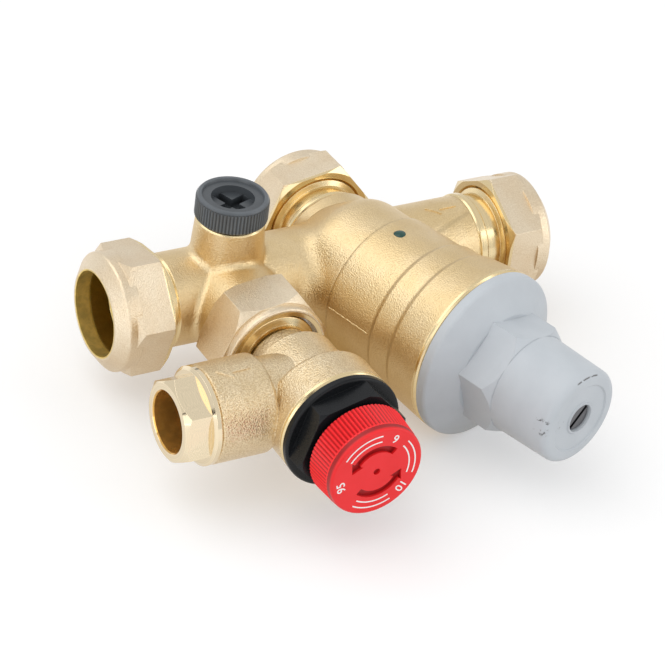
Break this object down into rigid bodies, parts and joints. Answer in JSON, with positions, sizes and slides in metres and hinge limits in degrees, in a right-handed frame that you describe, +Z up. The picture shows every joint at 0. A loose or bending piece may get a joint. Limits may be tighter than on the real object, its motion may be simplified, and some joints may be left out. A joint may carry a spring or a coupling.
{
  "type": "inlet control group",
  "caption": "Brass water inlet control group: pressure reducer, check valve, relief valve with red knob, gauge port and compression pipe ends.",
  "frame": {"origin": "where the take-off branch's axis crosses the axis of the run", "axes": "+X along the run towards the inlet, +Y along the take-off branch, +Z up, with the relief knob towards -Y"},
  "size_m": [0.1329, 0.1186, 0.0513],
  "materials": {
    "body": "sandblasted hot-pressed brass",
    "nuts": "fine sandblasted brass, paler than the body",
    "relief_brass": "sandblasted brass",
    "polished": "turned and polished brass",
    "olive_brass": "plain turned brass",
    "cap_plastic": "matte blue-grey moulding",
    "plug_plastic": "matte charcoal moulding",
    "bonnet_plastic": "satin black moulding",
    "knob_plastic": "satin coral-red moulding with white markings",
    "inner_plastic": "white moulding",
    "rubber": "smooth black rubber",
    "spring_steel": "drawn stainless steel wire",
    "stainless": "stainless steel sheet and bar",
    "screw_steel": "blackened steel"
  },
  "bodies": {
    "body": {"main_body": "body", "outlet_nut": "nuts", "outlet_olive": "olive_brass", "inlet_nut": "nuts", "inlet_olive": "olive_brass", "take_off_nut": "nuts", "take_off_olive": "olive_brass", "check_valve_cage": "inner_plastic", "check_valve_spring": "spring_steel", "check_valve_seal": "rubber", "check_valve_ring": "spring_steel", "cartridge_body": "inner_plastic", "strainer": "stainless", "diaphragm": "rubber", "regulating_spring": "spring_steel", "spring_cap": "cap_plastic", "nose_seal": "rubber", "chamber_seal": "rubber", "union_nut": "nuts", "union_gasket": "rubber", "union_clip": "spring_steel", "relief_body": "relief_brass", "discharge_nut": "polished", "discharge_olive": "olive_brass", "relief_bonnet": "bonnet_plastic", "relief_diaphragm": "rubber", "relief_spring": "spring_steel"},
    "valve_stem": {"valve_stem": "stainless", "seat_disc": "rubber", "diaphragm_plate": "inner_plastic"},
    "spring_seat": {"spring_seat": "stainless"},
    "adjusting_screw": {"adjusting_screw": "screw_steel"},
    "check_poppet": {"check_valve_poppet": "inner_plastic"},
    "relief_stem": {"relief_stem": "stainless", "relief_disc": "inner_plastic", "relief_seat_washer": "rubber"},
    "relief_knob": {"relief_knob": "knob_plastic"},
    "gauge_seal": {"gauge_plug_seal": "rubber"},
    "gauge_plug": {"gauge_plug": "plug_plastic"}
  },
  "joints": [
    {"name": "adjusting_screw_turn", "type": "hinge", "parent": "spring_seat", "child": "adjusting_screw", "pos_m": [0.01789, -0.07332, 0], "axis": [-0.263, 0.9648, 0], "range_deg": [-270.1, 1440.1]},
    {"name": "spring_seat_slide", "type": "slide", "parent": "body", "child": "spring_seat", "axis": [-0.263, 0.9648, 0], "range_m": [-0.00075, 0.004], "deforming": ["regulating_spring"]},
    {"name": "valve_stem_slide", "type": "slide", "parent": "body", "child": "valve_stem", "axis": [0.263, -0.9648, 0], "range_m": [0, 0.0021], "stiffness_N_per_m": 2000, "springref_m": -0.001, "deforming": ["regulating_spring", "diaphragm"]},
    {"name": "check_valve_slide", "type": "slide", "parent": "body", "child": "check_poppet", "axis": [-1, 0, 0], "range_m": [0, 0.005], "stiffness_N_per_m": 100, "springref_m": -0.002, "deforming": ["check_valve_spring"]},
    {"name": "relief_knob_turn", "type": "hinge", "parent": "relief_stem", "child": "relief_knob", "pos_m": [-0.0394, -0.076, 0], "axis": [0, -1, 0], "range_deg": [0, 90]},
    {"name": "relief_stem_slide", "type": "slide", "parent": "body", "child": "relief_stem", "axis": [0, -1, 0], "range_m": [0, 0.002], "stiffness_N_per_m": 1000, "springref_m": -0.002, "deforming": ["relief_spring", "relief_diaphragm"]},
    {"name": "gauge_plug_turn", "type": "hinge", "parent": "gauge_seal", "child": "gauge_plug", "pos_m": [-0.0388, 0, 0.02], "axis": [0, 0, 1], "range_deg": [0, 2162]},
    {"name": "gauge_plug_lift", "type": "slide", "parent": "body", "child": "gauge_seal", "axis": [0, 0, 1], "range_m": [0, 0.00803]}
  ],
  "couplings": [
    {"joint": "adjusting_screw_turn", "follows": "spring_seat_slide", "rad_per_m": 6283.2},
    {"joint": "relief_knob_turn", "follows": "relief_stem_slide", "rad_per_m": 784.61},
    {"joint": "gauge_plug_turn", "follows": "gauge_plug_lift", "rad_per_m": 4699.5}
  ]
}
